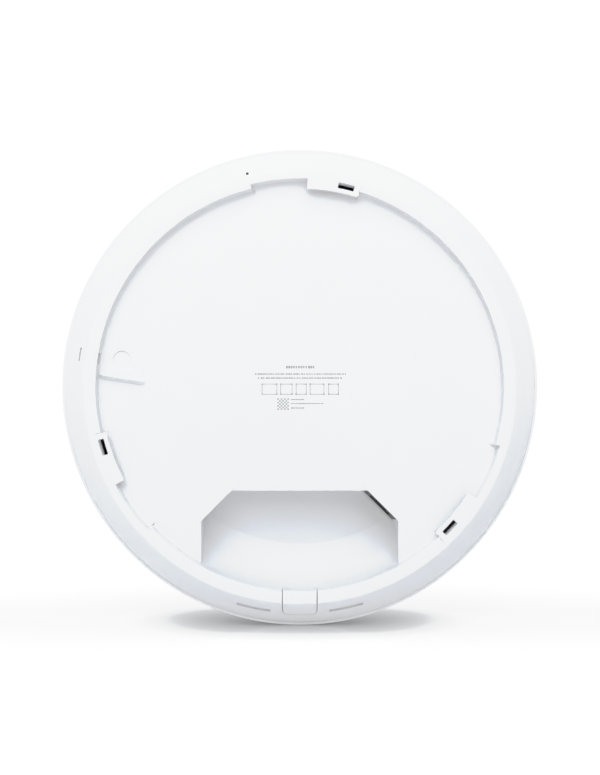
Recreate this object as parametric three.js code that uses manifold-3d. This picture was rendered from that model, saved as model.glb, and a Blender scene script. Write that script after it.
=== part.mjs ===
// A round indoor access point, standing on its edge with its back towards -Y.
// X runs right and Z up, seen from the back. Y runs from the mounting plane (0) to the
// front dome's apex (46). The origin is the centre of the back rim. Millimetres and
// degrees; an angle round the Y axis is clockwise from the top, seen from the back.

import * as THREE from 'three';
import { ConvexGeometry } from 'three/addons/geometries/ConvexGeometry.js';
import { mergeVertices } from 'three/addons/utils/BufferGeometryUtils.js';
import Module from 'manifold-3d';

const wasm = await Module();
wasm.setup();

// ---- driving dimensions ----

const OUTER_R = 103;        // the widest circle, at the front cover's skirt
const DEPTH = 46;           // from the mounting plane to the dome's apex
const GAP = 0.3;            // between pieces that rest on one another
const SKIN = 2;             // moulded walls of the rear cover
const LARGE_FACETS = 72;    // sides of the circles of the two covers
const MEDIUM_FACETS = 36;   // sides of the light ring and the fan
const SMALL_FACETS = 12;    // sides of bosses, legs and screws
const BORE_FACETS = 8;      // sides of screw holes
const CUT = 1;              // how far a cutting tool runs past the wall that it cuts

// rear cover: a flat rim, a 45 degree cone out to the seam, and a recessed base plate
const RIM = { inner: 86.9, outer: 92.2, seamR: 101.4, seamY: 9, shoulderY: 9.6, thick: 2.4 };
const RECESS = { r: 88.8, y: 5 };   // r is behind the lugs and gaps; elsewhere it is RIM.inner
const SPIGOT = { outer: 99.8, inner: 97.9, top: 13.6 };

// the three bayonet lugs, each with the gap before it that lets a bracket's tab in
const LUG = { count: 3, inner: 84.5, from: 2.1, to: 17, gapFrom: -13.6 };
const LUG_SLOT = { inner: 86.3, from: 10.8, to: 15.3, y1: 7.1 };

// cable pocket, below the middle of the base plate, with its floor curved like a bowl
const POCKET = { top: -44.4, halfTop: 29.2, chamfer: 13, floorY: 23.6, flatR: 69.4, wall: 1.8 };
const BOWL_SLOPE = 15;      // the floor's slope in degrees where its flat middle ends
const RAMP = { height: 3.2, sunk: 0.5 };

// cable gate at the foot of the rim
const GATE = { half: 7.3, foot: 97.6, cornerR: 2.3, tongueY: 4.4, slack: 0.25 };

// small features of the rear cover
const PINHOLE = { angle: 346.2, r: 93.9, bore: 0.75, guide: 2.2, guideTop: 11.5 };
const RELEASE = {
  from: 276.7, to: 280.3, r: 94.9, half: 0.45, windowTo: 279.7, y0: 1.2, y1: 4.2, slitY: 3.9,
};
const VENT = { r: 96.55, half: 0.55, from: 7.5, to: 16.3, y1: 5.6 };
const DIMPLE = { x: -76.4, z: 11.9, r: 3.6, deep: 0.3 };
const RIB = { from: [-86, 5.4], to: [-66, 2.2], half: 1.5, high: 1.8 };
const BOSS = { r: 3.2, bore: 1.3, circle: 80, angles: [40, 110, 250, 320], top: 16.7 };
const SNAP = { count: 6, first: 30, half: 3.4, y0: 10.8, y1: 12.6, bite: 99.2 };
const SCREW = { shank: 0.95, hole: 1.5, headR: 2.4, headHigh: 1.2, crown: 0.7 };

// front cover: a dome that is a superellipse in section
const DOME = { skirtY: 10, power: 2.3, thick: 2.2, edgeY: 9.9, edgeR: 102.3, holeR: 30.9, steps: 7 };
const LIGHT_RING = { inner: 28, outer: 30.6, foot: 37.4, top: 44.9 };
const CENTRE_CAP = { r: 27.7, edgeY: 45.15, skirtR: 24, skirtInner: 22.5, thick: 1.6 };
const HOLDER = { inner: 31.4, outer: 33.4, ledgeR: 29, ledgeY: 35.7, ledgeThick: 0.8, top: 42.1 };

// RJ45 jack behind the pocket's upper right wall, which leans by WALL_LEAN from LEAN_FROM on
const JACK = { width: 16, y0: 11.3, y1: 24.3, long: 18, shell: 0.4 };
const FACE = { half: 8.7, y0: 6.6, y1: 22.3, back: 1.8, holeFrom: -6, holeTo: 4 };
const PLUG = { half: 5.9, y0: 13.7, y1: 20.7, deep: 13, latchHalf: 3.2, latchY: 12.4, latchDeep: 9 };
const WALL_LEAN = 8;
const LEAN_FROM = 9;

// the stack inside, from the back to the front
const BACKING = { r: 86, y0: 7.3, y1: 8.3 };
const BOARD = { r: 88, y0: 17, y1: 18.6, tabR: 97, tabHalf: 5, fanR: 18, slack: 0.6 };
const PARTS_Y = BOARD.y1 + GAP;
const REFLECTOR = { r: 76, y0: 29.6, y1: 30.4, hole: 20 };
const CAN_TOP = 21.5;
const PAD = { y0: 21.8, y1: 22.3 };
const SINK = { half: 46, z0: 24, z1: 66, y0: 22.6, y1: 24.6, finTop: 28.9, fin: 1.4, fins: 9 };
const SINK_LEGS = [[-42, 29], [42, 61]];
const FAN = { half: 20, high: 9, bore: 18.4, hub: 9, blades: 7, bladeR: 17.6, hole: 16 };
const SPACERS = [[-28, -34], [28, -34], [-64, 34], [64, 34]];
const LED = { inner: 24, outer: 31.1, y0: 36, y1: 37, count: 8, circle: 29.3 };

// ---- materials ----

const paint = (color, roughness, metalness = 0) =>
  new THREE.MeshStandardMaterial({ color, roughness, metalness });

const MATERIALS = {
  cover: paint(0xf1f2f3, 0.5),
  diffuser: paint(0xe9eef2, 0.35),
  steel: paint(0xb9bcc0, 0.35, 0.9),
  aluminium: paint(0xc9ccd0, 0.4, 0.9),
  board: paint(0x15203a, 0.5),
  chip: paint(0x202124, 0.5),
  pad: paint(0x9fb4c4, 0.9),
  black: paint(0x1b1c1e, 0.45),
  brass: paint(0xd2b068, 0.3, 1),
  coil: paint(0x8d5a34, 0.5, 0.4),
};

// ---- toolkit ----

const radians = THREE.MathUtils.degToRad;

/** The X and Z of a point at a radius and a clockwise angle from the top. */
function polar(r, angle) {
  return [r * Math.sin(radians(angle)), r * Math.cos(radians(angle))];
}

/** A closed geometry as a solid that can be cut and joined. */
function solidOf(geometry) {
  geometry.deleteAttribute('normal');
  geometry.deleteAttribute('uv');
  const merged = mergeVertices(geometry);
  const corners = merged.index.array;
  const kept = [];
  for (let i = 0; i < corners.length; i += 3) {
    const [a, b, c] = [corners[i], corners[i + 1], corners[i + 2]];
    if (a !== b && b !== c && c !== a) kept.push(a, b, c);
  }
  return new wasm.Manifold(new wasm.Mesh({
    numProp: 3,
    vertProperties: new Float32Array(merged.attributes.position.array),
    triVerts: new Uint32Array(kept),
  }));
}

/** A named mesh of a solid. */
function meshOf(name, solid, material) {
  const { vertProperties, triVerts } = solid.getMesh();
  const geometry = new THREE.BufferGeometry();
  geometry.setAttribute('position', new THREE.BufferAttribute(vertProperties, 3));
  geometry.setIndex(new THREE.BufferAttribute(triVerts, 1));
  geometry.computeVertexNormals();
  const mesh = new THREE.Mesh(geometry, material);
  mesh.name = name;
  return mesh;
}

/** A ring or disc: a closed section of [radius, y] points turned round the Y axis. */
function revolve(section, facets = LARGE_FACETS) {
  const points = section.map(([r, y]) => new THREE.Vector2(r, y));
  if (THREE.ShapeUtils.area(points) < 0) points.reverse();
  points.push(points[0].clone());
  return solidOf(new THREE.LatheGeometry(points, facets));
}

/** A flat plate: an outline in X and Z, with its thickness from y0 to y1. */
function plate(shape, y0, y1, curveSegments = 6) {
  const options = { depth: y1 - y0, bevelEnabled: false, curveSegments };
  const geometry = new THREE.ExtrudeGeometry(shape, options);
  geometry.rotateX(Math.PI / 2);
  geometry.translate(0, y1, 0);
  return solidOf(geometry);
}

/** The outline through a list of [x, z] points. */
const outline = (points) => new THREE.Shape(points.map(([x, z]) => new THREE.Vector2(x, z)));

/** A piece of a ring between two radii and two clockwise angles. */
function sector(inner, outer, from, to, y0, y1) {
  const shape = new THREE.Shape();
  shape.absarc(0, 0, outer, radians(90 - from), radians(90 - to), true);
  shape.absarc(0, 0, inner, radians(90 - to), radians(90 - from), false);
  return plate(shape, y0, y1, 4);
}

/** A box between two opposite corners. */
function block([x0, y0, z0], [x1, y1, z1]) {
  const geometry = new THREE.BoxGeometry(x1 - x0, y1 - y0, z1 - z0);
  geometry.translate((x0 + x1) / 2, (y0 + y1) / 2, (z0 + z1) / 2);
  return solidOf(geometry);
}

/** A box centred on [x, z], standing from y0 to y1. */
const tile = ([x, z], [w, h], y0, y1) =>
  block([x - w / 2, y0, z - h / 2], [x + w / 2, y1, z + h / 2]);

/** A cylinder along Y at [x, z]. */
function rod(r, y0, y1, [x, z] = [0, 0], facets = SMALL_FACETS) {
  const geometry = new THREE.CylinderGeometry(r, r, y1 - y0, facets);
  geometry.translate(x, (y0 + y1) / 2, z);
  return solidOf(geometry);
}

/** The convex solid round a list of [x, y, z] points. */
const hull = (points) => solidOf(new ConvexGeometry(points.map((p) => new THREE.Vector3(...p))));

const joined = (solids) => solids.reduce((whole, next) => whole.add(next));
const cutFrom = (solid, tools) => tools.reduce((rest, tool) => rest.subtract(tool), solid);

// ---- shapes that several pieces share ----

/** The pocket's outline, grown outwards by an amount on every side. */
function pocketOutline(grow) {
  const lean = grow * Math.tan(radians(22.5));
  const half = POCKET.halfTop + POCKET.chamfer + grow;
  const shoulder = POCKET.top - POCKET.chamfer + lean;
  return outline([
    [-half, -OUTER_R],
    [half, -OUTER_R],
    [half, shoulder],
    [POCKET.halfTop + lean, POCKET.top + grow],
    [-POCKET.halfTop - lean, POCKET.top + grow],
    [-half, shoulder],
  ]);
}

/** The space behind the recess, grown by an amount: a flat floor inside flatR, then an arc. */
function pocketBowl(grow, y0) {
  const steps = 5;
  const wide = RIM.inner - POCKET.flatR;
  const deep = POCKET.floorY - RECESS.y;
  const first = radians(BOWL_SLOPE);
  const last = 2 * Math.atan2(deep, wide) - first;
  const arcR = Math.hypot(wide, deep) / 2 / Math.sin((last - first) / 2);
  const section = [[0, y0], [RIM.inner + grow, y0]];
  for (let i = steps; i >= 0; i -= 1) {
    const a = first + (last - first) * i / steps;
    section.push([
      POCKET.flatR + arcR * (Math.sin(a) - Math.sin(first)) + grow * Math.sin(a),
      POCKET.floorY - arcR * (Math.cos(first) - Math.cos(a)) + grow * Math.cos(a),
    ]);
  }
  section.push([0, POCKET.floorY + grow * Math.cos(first)]);
  return revolve(section);
}

/** The cone's Y at a radius between the rim and the seam. */
const coneY = (r) => (r - RIM.outer) / (RIM.seamR - RIM.outer) * RIM.seamY;

// the jack's frame: Z runs into the jack, square to the pocket's upper right wall
const JACK_TURN = radians(45);
const WALL_MIDDLE = [POCKET.halfTop + POCKET.chamfer / 2, POCKET.top - POCKET.chamfer / 2];
const jackFrame = new THREE.Matrix4()
  .makeRotationY(JACK_TURN)
  .setPosition(WALL_MIDDLE[0], 0, WALL_MIDDLE[1]);
const JACK_FRONT = POCKET.wall + GAP;

/** A box in the jack's frame, where z is the depth behind the wall's face. */
function jackBlock([x0, y0, z0], [x1, y1, z1]) {
  const geometry = new THREE.BoxGeometry(x1 - x0, y1 - y0, z1 - z0);
  geometry.translate((x0 + x1) / 2, (y0 + y1) / 2, (z0 + z1) / 2);
  geometry.applyMatrix4(jackFrame);
  return solidOf(geometry);
}

/** The room that the jack takes in a board, with a margin round it. */
const jackRoom = (y0, y1, margin) => jackBlock(
  [-JACK.width / 2 - margin, y0, 0],
  [JACK.width / 2 + margin, y1, JACK_FRONT + JACK.long + margin],
);

const bossPlaces = BOSS.angles.map((angle) => polar(BOSS.circle, angle));

// ---- housing ----

/** A slab in the jack's frame from y0 to y1, whose front leans into the pocket. */
function leaningSlab(half, y0, y1, back) {
  const front = (y) => -(y - LEAN_FROM) * Math.tan(radians(WALL_LEAN));
  const points = [];
  for (const x of [-half, half]) {
    for (const [y, z] of [[y0, front(y0)], [y0, back], [y1, back], [y1, front(y1)]]) {
      points.push(new THREE.Vector3(x, y, z).applyMatrix4(jackFrame).toArray());
    }
  }
  return hull(points);
}

/** The wall round the jack's face, which leans like it. */
const jackWall = () => leaningSlab(POCKET.chamfer * Math.SQRT1_2 + POCKET.wall,
  RECESS.y + SKIN / 2, POCKET.floorY + 1, 1);

/** The gate's section, from its rim over the cone, with a tongue that closes the recess's wall. */
function gateSection() {
  const foot = coneY(GATE.foot);
  return [
    [RIM.inner, 0],
    [RIM.outer, 0],
    [GATE.foot, foot],
    [GATE.foot - SKIN * Math.SQRT1_2, foot + SKIN * Math.SQRT1_2],
    [RIM.outer - SKIN * Math.tan(radians(22.5)), RIM.thick],
    [RIM.inner + SKIN, RIM.thick],
    [RIM.inner + SKIN, GATE.tongueY],
    [RIM.inner, GATE.tongueY],
  ];
}

/** The gate's outline seen from the back, grown by its slack for the notch. */
function gateOutline(grow) {
  const half = GATE.half + grow;
  const foot = -GATE.foot - grow;
  const corner = GATE.cornerR;
  const shape = new THREE.Shape();
  shape.moveTo(-half, 0);
  shape.lineTo(half, 0);
  shape.lineTo(half, foot + corner);
  shape.absarc(half - corner, foot + corner, corner, 0, -Math.PI / 2, true);
  shape.absarc(-half + corner, foot + corner, corner, -Math.PI / 2, -Math.PI, true);
  return shape;
}

/** The turned room for the gate: its tongue in the recess's wall, and its foot in the cone. */
function gateNotch() {
  const step = RECESS.r + SKIN + GAP;
  const top = coneY(GATE.foot) + SKIN;
  return revolve([
    [RIM.inner - CUT, -CUT],
    [RIM.seamR, -CUT],
    [RIM.seamR, top],
    [step, top],
    [step, GATE.tongueY + GAP],
    [RIM.inner - CUT, GATE.tongueY + GAP],
  ]);
}

/** The shell: rim, cone, spigot, recess wall and base plate, before its features. */
function rearShell() {
  const coneIn = SKIN * Math.tan(radians(22.5));
  return revolve([
    [RIM.inner, 0],
    [RIM.outer, 0],
    [RIM.seamR, RIM.seamY],
    [RIM.seamR, RIM.shoulderY],
    [SPIGOT.outer, RIM.shoulderY],
    [SPIGOT.outer, SPIGOT.top],
    [SPIGOT.inner, SPIGOT.top],
    [SPIGOT.inner, RIM.seamY],
    [RIM.outer - coneIn, RIM.thick],
    [RECESS.r + SKIN, RIM.thick],
    [RECESS.r + SKIN, RECESS.y + SKIN],
    [0, RECESS.y + SKIN],
    [0, RECESS.y],
    [RIM.inner, RECESS.y],
  ]);
}

const lugTurns = [...Array(LUG.count).keys()].map((i) => i * 360 / LUG.count);

/** The lugs that stand in from the rim. */
function lugs() {
  return lugTurns.map((turn) =>
    sector(LUG.inner, RECESS.r + CUT, LUG.from + turn, LUG.to + turn, 0, RIM.thick));
}

/** The tab gaps, the room behind the lugs, and the slots through the lugs and the base plate. */
function lugCuts() {
  const gaps = lugTurns.map((turn) =>
    sector(RIM.inner - CUT, RECESS.r, LUG.gapFrom + turn, LUG.from + turn, -CUT, RECESS.y));
  const rooms = lugTurns.map((turn) =>
    sector(RIM.inner - CUT, RECESS.r, LUG.from + turn, LUG.to + turn, RIM.thick, RECESS.y));
  const slots = lugTurns.map((turn) =>
    sector(LUG_SLOT.inner, RECESS.r, LUG_SLOT.from + turn, LUG_SLOT.to + turn, -CUT, LUG_SLOT.y1));
  return [...gaps, ...rooms, ...slots];
}

/** The shallow ramp that leads a cable over the pocket's top edge. */
function rampCut() {
  const half = POCKET.halfTop;
  const top = POCKET.top + RAMP.height;
  return hull([
    [-half, RECESS.y - CUT, POCKET.top - CUT],
    [half, RECESS.y - CUT, POCKET.top - CUT],
    [-half, RECESS.y + RAMP.sunk, POCKET.top],
    [half, RECESS.y + RAMP.sunk, POCKET.top],
    [-half, RECESS.y + RAMP.sunk, POCKET.top - CUT],
    [half, RECESS.y + RAMP.sunk, POCKET.top - CUT],
    [-half + RAMP.height, RECESS.y, top],
    [half - RAMP.height, RECESS.y, top],
    [-half + RAMP.height, RECESS.y - CUT, top],
    [half - RAMP.height, RECESS.y - CUT, top],
  ]);
}

/** The low triangular rib beside the release slit. */
function rib() {
  const [x0, z0] = RIB.from;
  const [x1, z1] = RIB.to;
  const length = Math.hypot(x1 - x0, z1 - z0);
  const along = [(x1 - x0) / length, (z1 - z0) / length];
  const base = RECESS.y + SKIN / 2;
  const foot = (s, side) => [
    x0 + along[0] * s - along[1] * side,
    base,
    z0 + along[1] * s + along[0] * side,
  ];
  const crest = (s) => [x0 + along[0] * s, RECESS.y - RIB.high, z0 + along[1] * s];
  const inset = RIB.high;
  return hull([
    foot(0, -RIB.half), foot(0, RIB.half), foot(length, -RIB.half), foot(length, RIB.half),
    crest(inset), crest(length - inset),
  ]);
}

function rearCover() {
  const underCone = revolve([[0, RECESS.y], [RIM.outer, 0], [RIM.seamR, RIM.seamY],
    [RIM.seamR, SPIGOT.top], [0, SPIGOT.top]]);
  const pinhole = polar(PINHOLE.r, PINHOLE.angle);
  const pocketY = RECESS.y + SKIN / 2;
  const added = [
    rearShell(),
    ...lugs(),
    plate(pocketOutline(POCKET.wall), pocketY, DEPTH).intersect(pocketBowl(POCKET.wall, pocketY)),
    rib(),
    rod(PINHOLE.guide, 0, PINHOLE.guideTop, pinhole).intersect(underCone),
    ...bossPlaces.map((place) => rod(BOSS.r, pocketY, BOSS.top, place)),
  ];
  const pocketVoid = plate(pocketOutline(0), -CUT, DEPTH)
    .intersect(pocketBowl(0, RECESS.y - CUT))
    .subtract(jackWall());
  const snaps = [...Array(SNAP.count).keys()].map((i) => SNAP.first + i * 360 / SNAP.count);
  const removed = [
    pocketVoid,
    ...lugCuts(),
    rampCut(),
    plate(gateOutline(GATE.slack), -CUT, SPIGOT.top).intersect(gateNotch()),
    jackBlock([-FACE.half - GAP, FACE.y0 - GAP, FACE.holeFrom],
      [FACE.half + GAP, FACE.y1 + GAP, FACE.holeTo]),
    rod(PINHOLE.bore, -CUT, PINHOLE.guideTop + CUT, pinhole, BORE_FACETS),
    sector(RELEASE.r - RELEASE.half, RELEASE.r + RELEASE.half, RELEASE.from, RELEASE.to, -CUT,
      RELEASE.slitY),
    sector(RIM.inner - CUT, RECESS.r + SKIN + CUT, RELEASE.from, RELEASE.windowTo,
      RELEASE.y0, RELEASE.y1),
    ...[180 - VENT.to, 180 + VENT.from].map((from) =>
      sector(VENT.r - VENT.half, VENT.r + VENT.half, from, from + VENT.to - VENT.from, -CUT,
        VENT.y1)),
    rod(DIMPLE.r, RECESS.y - CUT, RECESS.y + DIMPLE.deep, [DIMPLE.x, DIMPLE.z],
      MEDIUM_FACETS),
    ...bossPlaces.map((place) => rod(BOSS.bore, RECESS.y + SKIN, BOSS.top + CUT, place, BORE_FACETS)),
    ...snaps.map((angle) => sector(SPIGOT.inner - CUT, SPIGOT.outer + CUT,
      angle - SNAP.half, angle + SNAP.half, SNAP.y0, SNAP.y1)),
  ];
  return meshOf('rear_cover', cutFrom(joined(added), removed), MATERIALS.cover);
}

function cableGate() {
  const solid = plate(gateOutline(0), -CUT, DEPTH).intersect(revolve(gateSection()));
  return meshOf('cable_gate', solid, MATERIALS.cover);
}

/** Points of the dome's section from the skirt up to the centre hole. */
function domeCurve(thick) {
  const r = OUTER_R - thick;
  const high = DEPTH - DOME.skirtY - thick;
  const last = Math.acos((DOME.holeR / r) ** (DOME.power / 2));
  return [...Array(DOME.steps + 1).keys()].map((i) => {
    const t = last * i / DOME.steps;
    const flare = i === DOME.steps ? DOME.holeR : r * Math.cos(t) ** (2 / DOME.power);
    return [flare, DOME.skirtY + high * Math.sin(t) + (i === 0 ? 0.7 : 0)];
  });
}

function frontCover() {
  const snaps = [...Array(SNAP.count).keys()].map((i) => SNAP.first + i * 360 / SNAP.count);
  const shell = revolve([
    [OUTER_R - DOME.thick, DOME.edgeY],
    [DOME.edgeR, DOME.edgeY],
    ...domeCurve(0),
    ...domeCurve(DOME.thick).reverse(),
  ]);
  const bumps = snaps.map((angle) => sector(SNAP.bite, OUTER_R - DOME.thick + CUT / 2,
    angle - SNAP.half + GAP, angle + SNAP.half - GAP, SNAP.y0 + GAP, SNAP.y1 - GAP));
  return meshOf('front_cover', joined([shell, ...bumps]), MATERIALS.cover);
}

function lightRing() {
  const solid = revolve([
    [LIGHT_RING.inner, LIGHT_RING.foot],
    [LIGHT_RING.outer, LIGHT_RING.foot],
    [LIGHT_RING.outer, LIGHT_RING.top],
    [LIGHT_RING.inner, LIGHT_RING.top + 0.2],
  ], MEDIUM_FACETS);
  return meshOf('light_ring', solid, MATERIALS.diffuser);
}

function centreCap() {
  const under = CENTRE_CAP.edgeY - CENTRE_CAP.thick;
  const solid = revolve([
    [0, DEPTH],
    [CENTRE_CAP.r / 2, DEPTH - (DEPTH - CENTRE_CAP.edgeY) / 4],
    [CENTRE_CAP.r, CENTRE_CAP.edgeY],
    [CENTRE_CAP.r, under],
    [CENTRE_CAP.skirtR, under],
    [CENTRE_CAP.skirtR, LED.y1 + GAP],
    [CENTRE_CAP.skirtInner, LED.y1 + GAP],
    [CENTRE_CAP.skirtInner, DEPTH - CENTRE_CAP.thick],
    [0, DEPTH - CENTRE_CAP.thick],
  ], MEDIUM_FACETS);
  return meshOf('centre_cap', solid, MATERIALS.cover);
}

function ringHolder() {
  const solid = revolve([
    [HOLDER.inner, REFLECTOR.y1 + GAP],
    [HOLDER.outer, REFLECTOR.y1 + GAP],
    [HOLDER.outer, HOLDER.top],
    [HOLDER.inner, HOLDER.top],
    [HOLDER.inner, HOLDER.ledgeY],
    [HOLDER.ledgeR, HOLDER.ledgeY],
    [HOLDER.ledgeR, HOLDER.ledgeY - HOLDER.ledgeThick],
    [HOLDER.inner, HOLDER.ledgeY - HOLDER.ledgeThick],
  ], MEDIUM_FACETS);
  return meshOf('ring_holder', solid, MATERIALS.black);
}

// ---- jack and reset switch ----

function jackPieces() {
  const z0 = JACK_FRONT;
  const half = JACK.width / 2;
  const inside = half - JACK.shell;
  const shell = jackBlock([-half, JACK.y0, z0], [half, JACK.y1, z0 + JACK.long])
    .subtract(jackBlock([-inside, JACK.y0 + JACK.shell, z0 - CUT],
      [inside, JACK.y1 - JACK.shell, z0 + JACK.long - JACK.shell]));
  const core = inside - GAP;
  const coreLow = JACK.y0 + JACK.shell + GAP;
  const coreHigh = JACK.y1 - JACK.shell - GAP;
  const front = z0 - 2 * JACK.width;
  const insert = cutFrom(
    jackBlock([-core, coreLow, 0], [core, coreHigh, z0 + JACK.long - JACK.shell - GAP])
      .subtract(jackBlock([-core - CUT, FACE.y1, -CUT], [core + CUT, JACK.y1, z0]))
      .add(leaningSlab(FACE.half, FACE.y0, FACE.y1, FACE.back)),
    [
      jackBlock([-PLUG.half, PLUG.y0, front], [PLUG.half, PLUG.y1, z0 + PLUG.deep]),
      jackBlock([-PLUG.latchHalf, PLUG.latchY, front],
        [PLUG.latchHalf, PLUG.y0 + CUT, z0 + PLUG.latchDeep]),
    ],
  );
  return [
    meshOf('jack_shell', shell, MATERIALS.steel),
    meshOf('jack_insert', insert, MATERIALS.black),
    meshOf('jack_contacts', contactComb(z0), MATERIALS.brass),
  ];
}

/** Eight contact springs that lie along the socket's floor, on the bar that holds them. */
function contactComb(z0) {
  const pitch = 1.02;
  const spring = { half: 0.2, thick: 0.3, front: 3 };
  const y1 = PLUG.y1 - GAP;
  const barZ = z0 + PLUG.deep - GAP;
  const bar = jackBlock([-4 * pitch, y1 - 2, barZ - 1], [4 * pitch, y1, barZ]);
  const springs = [...Array(8).keys()].map((i) => {
    const x = (i - 3.5) * pitch;
    return jackBlock([x - spring.half, y1 - spring.thick, z0 + spring.front],
      [x + spring.half, y1, barZ - CUT / 2]);
  });
  return joined([bar, ...springs]);
}

function resetPieces() {
  const place = polar(PINHOLE.r, PINHOLE.angle);
  const top = BOARD.y0 - GAP;
  const body = { width: 5, height: 4, y0: 13.4 };
  const stem = { r: 0.75, y0: 12.1, y1: 14.2, travel: 0.4 };
  const housing = tile(place, [body.width, body.height], body.y0, top)
    .subtract(rod(stem.r + GAP, body.y0 - CUT, stem.y1 + stem.travel + GAP / 2, place));
  return [
    meshOf('reset_switch', housing, MATERIALS.black),
    meshOf('reset_button', rod(stem.r, stem.y0, stem.y1, place), MATERIALS.chip),
  ];
}

// ---- plates and boards ----

function backingPlate() {
  const clearance = POCKET.wall + BOARD.slack;
  const solid = cutFrom(rod(BACKING.r, BACKING.y0, BACKING.y1, [0, 0], LARGE_FACETS), [
    plate(pocketOutline(clearance), 0, DEPTH),
    jackRoom(0, DEPTH, BOARD.slack),
    ...bossPlaces.map((place) => rod(BOSS.r + 0.5, 0, DEPTH, place)),
  ]);
  return meshOf('backing_plate', solid, MATERIALS.steel);
}

function mainBoard() {
  const clearance = POCKET.wall + BOARD.slack;
  const [tabX] = polar(PINHOLE.r, PINHOLE.angle);
  const tab = block([tabX - BOARD.tabHalf, BOARD.y0, 0], [tabX + BOARD.tabHalf, BOARD.y1, OUTER_R])
    .intersect(rod(BOARD.tabR, BOARD.y0, BOARD.y1, [0, 0], LARGE_FACETS));
  const solid = cutFrom(rod(BOARD.r, BOARD.y0, BOARD.y1, [0, 0], LARGE_FACETS).add(tab), [
    plate(pocketOutline(clearance), 0, DEPTH),
    jackRoom(0, DEPTH, BOARD.slack),
    rod(BOARD.fanR, 0, DEPTH, [0, 0], MEDIUM_FACETS),
    ...bossPlaces.map((place) => rod(SCREW.hole, 0, DEPTH, place, BORE_FACETS)),
    ...SINK_LEGS.map((place) => rod(BOSS.bore, 0, DEPTH, place, BORE_FACETS)),
    ...fanScrewPlaces().map((place) => rod(BOSS.bore, 0, DEPTH, place, BORE_FACETS)),
  ]);
  return meshOf('main_board', solid, MATERIALS.board);
}

function reflectorPlate() {
  const solid = cutFrom(rod(REFLECTOR.r, REFLECTOR.y0, REFLECTOR.y1, [0, 0], LARGE_FACETS), [
    rod(REFLECTOR.hole, 0, DEPTH, [0, 0], MEDIUM_FACETS),
    ...SPACERS.map((place) => rod(SCREW.hole, 0, DEPTH, place, BORE_FACETS)),
  ]);
  return meshOf('reflector_plate', solid, MATERIALS.aluminium);
}

function ledBoard() {
  const annulus = revolve([
    [LED.inner, LED.y0],
    [LED.outer, LED.y0],
    [LED.outer, LED.y1],
    [LED.inner, LED.y1],
  ], MEDIUM_FACETS);
  const lamps = [...Array(LED.count).keys()].map((i) =>
    tile(polar(LED.circle, i * 360 / LED.count), [1.6, 1.6], LED.y1 - 0.2, LED.y1 + 0.2));
  return meshOf('led_board', joined([annulus, ...lamps]), MATERIALS.cover);
}

// ---- what the board carries ----

function processor() {
  const place = [0, 46];
  const solid = tile(place, [19, 19], PARTS_Y, PARTS_Y + 1)
    .add(tile(place, [13, 13], PARTS_Y + 0.5, CAN_TOP));
  return meshOf('processor', solid, MATERIALS.chip);
}

function flatChip(name, place, size, high) {
  return meshOf(name, tile(place, size, PARTS_Y, PARTS_Y + high), MATERIALS.chip);
}

/** A pressed can, open towards the board. */
function shieldCan(name, place, [w, h]) {
  const sheet = 0.4;
  const solid = tile(place, [w, h], PARTS_Y, CAN_TOP)
    .subtract(tile(place, [w - 2 * sheet, h - 2 * sheet], PARTS_Y - CUT, CAN_TOP - sheet));
  return meshOf(name, solid, MATERIALS.steel);
}

const thermalPad = (name, place, size) =>
  meshOf(name, tile(place, size, PAD.y0, PAD.y1), MATERIALS.pad);

function heatSink() {
  const middle = (SINK.z0 + SINK.z1) / 2;
  const base = tile([0, middle], [2 * SINK.half, SINK.z1 - SINK.z0], SINK.y0, SINK.y1);
  const pitch = (2 * SINK.half - SINK.fin) / (SINK.fins - 1);
  const fins = [...Array(SINK.fins).keys()].map((i) => {
    const x = -SINK.half + SINK.fin / 2 + i * pitch;
    return tile([x, middle], [SINK.fin, SINK.z1 - SINK.z0], SINK.y1 - 0.5, SINK.finTop);
  });
  const legs = SINK_LEGS.map((place) => rod(3, PARTS_Y, SINK.y0 + 0.5, place));
  const holes = SINK_LEGS.map((place) => rod(SCREW.hole, 0, DEPTH, place, BORE_FACETS));
  return meshOf('heat_sink', cutFrom(joined([base, ...fins, ...legs]), holes), MATERIALS.aluminium);
}

function fanScrewPlaces() {
  return [[-FAN.hole, FAN.hole], [FAN.hole, -FAN.hole]];
}

function fanFrame() {
  const top = PARTS_Y + FAN.high;
  const corner = FAN.hole;
  const holes = [[-corner, -corner], [corner, -corner], [-corner, corner], [corner, corner]];
  const shell = cutFrom(tile([0, 0], [2 * FAN.half, 2 * FAN.half], PARTS_Y, top), [
    rod(FAN.bore, 0, DEPTH, [0, 0], MEDIUM_FACETS),
    ...holes.map((place) => rod(1.7, 0, DEPTH, place, BORE_FACETS)),
  ]);
  const struts = [
    block([-FAN.half + CUT, PARTS_Y, -1], [FAN.half - CUT, PARTS_Y + 1, 1]),
    block([-1, PARTS_Y, -FAN.half + CUT], [1, PARTS_Y + 1, FAN.half - CUT]),
  ];
  const seat = rod(FAN.hub - 0.5, PARTS_Y, PARTS_Y + 1.4, [0, 0], MEDIUM_FACETS);
  return meshOf('fan_frame', joined([shell, ...struts, seat]), MATERIALS.black);
}

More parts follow.
